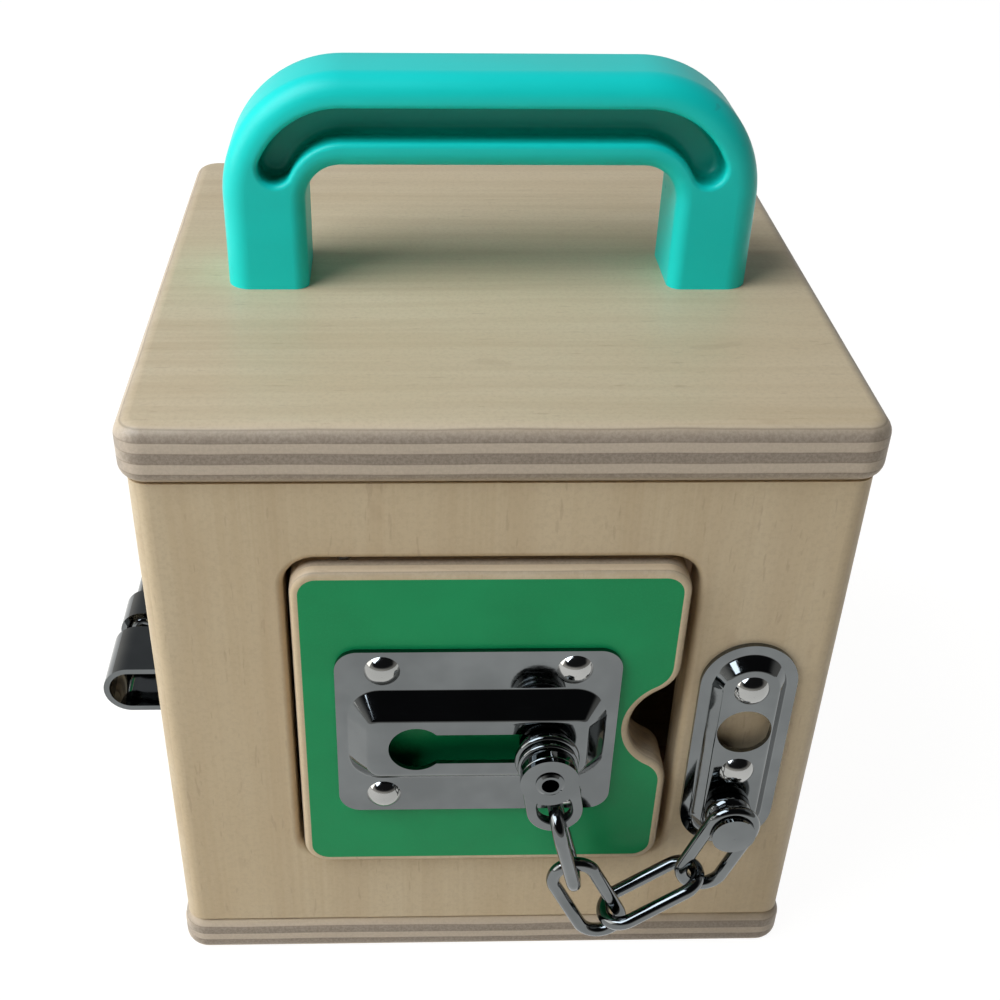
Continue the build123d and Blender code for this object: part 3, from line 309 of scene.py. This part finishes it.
def turquoise_plastic(handle):
    """Moulded turquoise plastic: spark texture, flow marks, dull scuffs, and painted shade darkening the
    groove.
    """
    constants = {"Specular IOR Level": 0.3}
    material, tree, shader, coordinates = start_material("turquoise_plastic", constants)
    place = coordinates["Object"]
    flow = drawn_noise(tree, place, (14, 40, 40), detail=3.0)
    spark = noise(tree, place, scale=2600.0, roughness=0.6)
    scuff = drawn_noise(tree, place, (90, 240, 320), detail=3.0)
    scuff = ramp(tree, scuff, low=0.73, high=0.8)
    tone = blend(tree, ramp(tree, flow, low=0.3, high=0.7), turquoise_dark, turquoise_light)
    tone = blend(tree, scaled(tree, scuff, factor=0.3), tone, turquoise_scuff)
    # Painted shade: the groove is darkened in the base colour, in place of the shadow its overhanging lip
    # casts
    tone = blend(tree, groove_shade_share(tree, place, handle), tone, turquoise_groove_shade)
    satin = ramp(tree, flow, low=0.25, high=0.75, start=0.34, end=0.42)
    gloss = calc(tree, "ADD", satin, scaled(tree, scuff, factor=0.2))
    surface(tree, shader, tone, gloss, spark, strength=0.18, distance=0.00006)
    return material


def plated(name, dark, light, gloss, worn):
    """Plated metal: polished tone with faint polishing haze, fingerprints and fine scratches."""
    material, tree, shader, coordinates = start_material(name, {"Metallic": 1.0})
    place = coordinates["Object"]
    haze = noise(tree, place, scale=70.0, detail=3.0)
    prints = noise(tree, place, scale=260.0, detail=4.0, roughness=0.65)
    scratches = drawn_noise(tree, place, (120, 500, 2600), detail=2.0)
    tone = blend(tree, ramp(tree, haze, low=0.3, high=0.7), dark, light)
    handled = ramp(tree, prints, low=0.35, high=0.75, start=gloss, end=gloss + worn)
    rough = calc(tree, "ADD", handled, ramp(tree, scratches, low=0.62, high=0.7, end=0.05))
    relief = calc(tree, "ADD", haze, scaled(tree, scratches, factor=0.2))
    surface(tree, shader, tone, rough, relief, strength=0.08, distance=0.00012)
    return material


# Finish of each node

# Make of a board: number of its plies and thickness of its face veneers
stout_make = {"plies": 5, "veneer": 0.0022}
plain_make = {"plies": 7, "veneer": 0.0007}

# Edges of a board: grey of what is sawn and dark of the end grain
open_edges = {"sawn": 0.7, "ends": 0.85}
wall_edges = {"sawn": 0.0, "ends": 0.12}
door_edges = {"sawn": 0.2, "ends": 0.6}

# Board: axis of its thickness, grain of its faces, grain across, shift of its pattern, make, edges
boards = {
    "base_panel": ("Z", "X", "Y", 0.7, stout_make, open_edges),
    "lid_panel": ("Z", "X", "Y", 2.3, plain_make, open_edges),
    "front_panel": ("Y", "Z", "X", 4.4, plain_make, wall_edges),
    "back_panel": ("Y", "Z", "X", 6.2, plain_make, wall_edges),
    "left_panel": ("X", "Z", "Y", 8.9, plain_make, wall_edges),
    "right_panel": ("X", "Z", "Y", 11.3, plain_make, wall_edges),
    "front_door": ("Y", "Z", "X", 13.6, plain_make, door_edges),
    "side_door": ("X", "Z", "Y", 15.1, plain_make, door_edges),
}
chrome = plated("dark_chrome", chrome_dark, chrome_light, gloss=0.05, worn=0.05)
nickel = plated("bright_nickel", nickel_dark, nickel_light, gloss=0.07, worn=0.07)
steel = plated("zinc_steel", steel_dark, steel_light, gloss=0.22, worn=0.14)
sheet = green_sheet()
plastic = turquoise_plastic(nodes["handle"])
upright_beech = beech("beech_upright", "Z")
lengthwise_beech = beech("beech_lengthwise", "Y")
finish = {
    "front_door_sheet": sheet,
    "side_door_sheet": sheet,
    "handle": plastic,
    "front_door_stops": upright_beech,
    "side_door_stops": upright_beech,
    "lid_dowels": upright_beech,
    "corner_dowels": lengthwise_beech,
    "slot_plate_rivets": nickel,
    "chain_plate_rivets": nickel,
    "base_screws": steel,
    "handle_screws": steel,
    "keeper_screws": steel,
    "bolt_plate_screws": steel,
    "front_door_pins": steel,
    "side_door_pins": steel,
}
for node, (across, grain, cross, seed, make, edges) in boards.items():
    finish[node] = plywood(nodes[node], across, grain, cross, seed, **make, **edges)
for node, shape in nodes.items():
    shape.data.materials.clear()
    shape.data.materials.append(finish.get(node, chrome))


# Floor, light and camera

def stage_floor():
    """Wide pale floor that stays near white round the object and keeps its shadow."""
    reach = 6.0
    level = -0.0002
    glow_share = 0.8
    glow_strength = 1.2
    mesh = bpy.data.meshes.new("floor")
    ends = ((-reach, -reach), (reach, -reach), (reach, reach), (-reach, reach))
    mesh.from_pydata([(x, y, level) for x, y in ends], [], [(0, 1, 2, 3)])
    floor = bpy.data.objects.new("floor", mesh)
    bpy.context.scene.collection.objects.link(floor)
    material = bpy.data.materials.new("pale_floor")
    material.use_nodes = True
    tree = material.node_tree
    tree.nodes.clear()
    path = add(tree, "ShaderNodeLightPath").outputs
    seen = calc(tree, "MAXIMUM", path["Is Camera Ray"], path["Is Glossy Ray"])
    seen = calc(tree, "MAXIMUM", seen, path["Is Transmission Ray"])
    matt = add(tree, "ShaderNodeBsdfDiffuse", {"Color": floor_pale})
    glow = add(tree, "ShaderNodeEmission", {"Color": floor_glow, "Strength": glow_strength})
    inputs = {0: scaled(tree, seen, glow_share), 1: matt.outputs[0], 2: glow.outputs[0]}
    mixed = add(tree, "ShaderNodeMixShader", inputs)
    add(tree, "ShaderNodeOutputMaterial", {0: mixed.outputs[0]})
    mesh.materials.append(material)


def softbox(name, place, aim, size, power, colour):
    """A square area lamp aimed at a point."""
    lamp = bpy.data.lights.new(name, "AREA")
    lamp.shape = "SQUARE"
    lamp.size = size
    lamp.energy = power
    lamp.color = colour
    holder = bpy.data.objects.new(name, lamp)
    holder.location = place
    holder.rotation_euler = (Vector(aim) - Vector(place)).to_track_quat("-Z", "Y").to_euler()
    bpy.context.scene.collection.objects.link(holder)


def studio_world():
    """Dim room light, darker overhead, to the right and in front, which plated metal mirrors."""
    front_axis = (0.10, -0.78, 0.62)
    world = bpy.data.worlds.new("room")
    bpy.context.scene.world = world
    world.use_nodes = True
    tree = world.node_tree
    tree.nodes.clear()
    direction = add(tree, "ShaderNodeTexCoord").outputs["Generated"]
    parts = split(tree, direction)
    tone = blend(tree, ramp(tree, parts["Z"], low=0.0, high=0.75), room_level, room_overhead)
    tone = blend(tree, ramp(tree, parts["X"], low=-0.2, high=0.9, end=0.5), tone, room_right)
    inputs = {0: direction, 1: front_axis}
    product = add(tree, "ShaderNodeVectorMath", inputs, operation="DOT_PRODUCT")
    frontal = ramp(tree, product.outputs["Value"], low=0.38, high=0.66)
    raised = ramp(tree, parts["Z"], low=0.08, high=0.30)
    tone = blend(tree, calc(tree, "MULTIPLY", frontal, raised), tone, room_front)
    glow = add(tree, "ShaderNodeBackground", {"Color": tone, "Strength": 1.0})
    add(tree, "ShaderNodeOutputWorld", {0: glow.outputs[0]})


def photo_camera():
    """Camera at the photograph's viewpoint, fitted to the edges of the case, the lid and the base."""
    place = (-0.02037, -0.3087, 0.28265)
    pitch = math.radians(36.39)
    yaw = math.radians(-1.95)
    roll = math.radians(-0.81)
    level = math.cos(pitch)
    right = Vector((math.cos(yaw), math.sin(yaw), 0))
    forward = Vector((-math.sin(yaw) * level, math.cos(yaw) * level, -math.sin(pitch)))
    down = forward.cross(right)
    side = right * math.cos(roll) + down * math.sin(roll)
    up = right * math.sin(roll) - down * math.cos(roll)
    camera = bpy.data.objects.new("camera", bpy.data.cameras.new("camera"))
    camera.data.sensor_width = 36.0
    camera.data.lens = 49.72
    camera.data.shift_x = 0.06
    camera.data.shift_y = 0.10
    camera.data.clip_start = 0.01
    turn = Matrix((side, up, -forward)).transposed()
    camera.matrix_world = Matrix.Translation(place) @ turn.to_4x4()
    bpy.context.scene.collection.objects.link(camera)
    bpy.context.scene.camera = camera


stage_floor()
studio_world()
softbox(
    "key", place=(-0.67, -0.30, 0.99), aim=(0, 0, 0.12), size=0.8, power=12.9, colour=(0.82, 0.905, 1.0)
)
softbox(
    "fill", place=(-0.95, -0.16, 0.40), aim=(0, 0, 0.09), size=0.6, power=3.0, colour=(1.0, 0.97, 0.92)
)
softbox(
    "rim", place=(0.95, 0.10, 0.55), aim=(0, 0, 0.1), size=0.5, power=0.2, colour=(0.97, 0.99, 1.0)
)
photo_camera()
bpy.context.scene.view_settings.view_transform = "Standard"
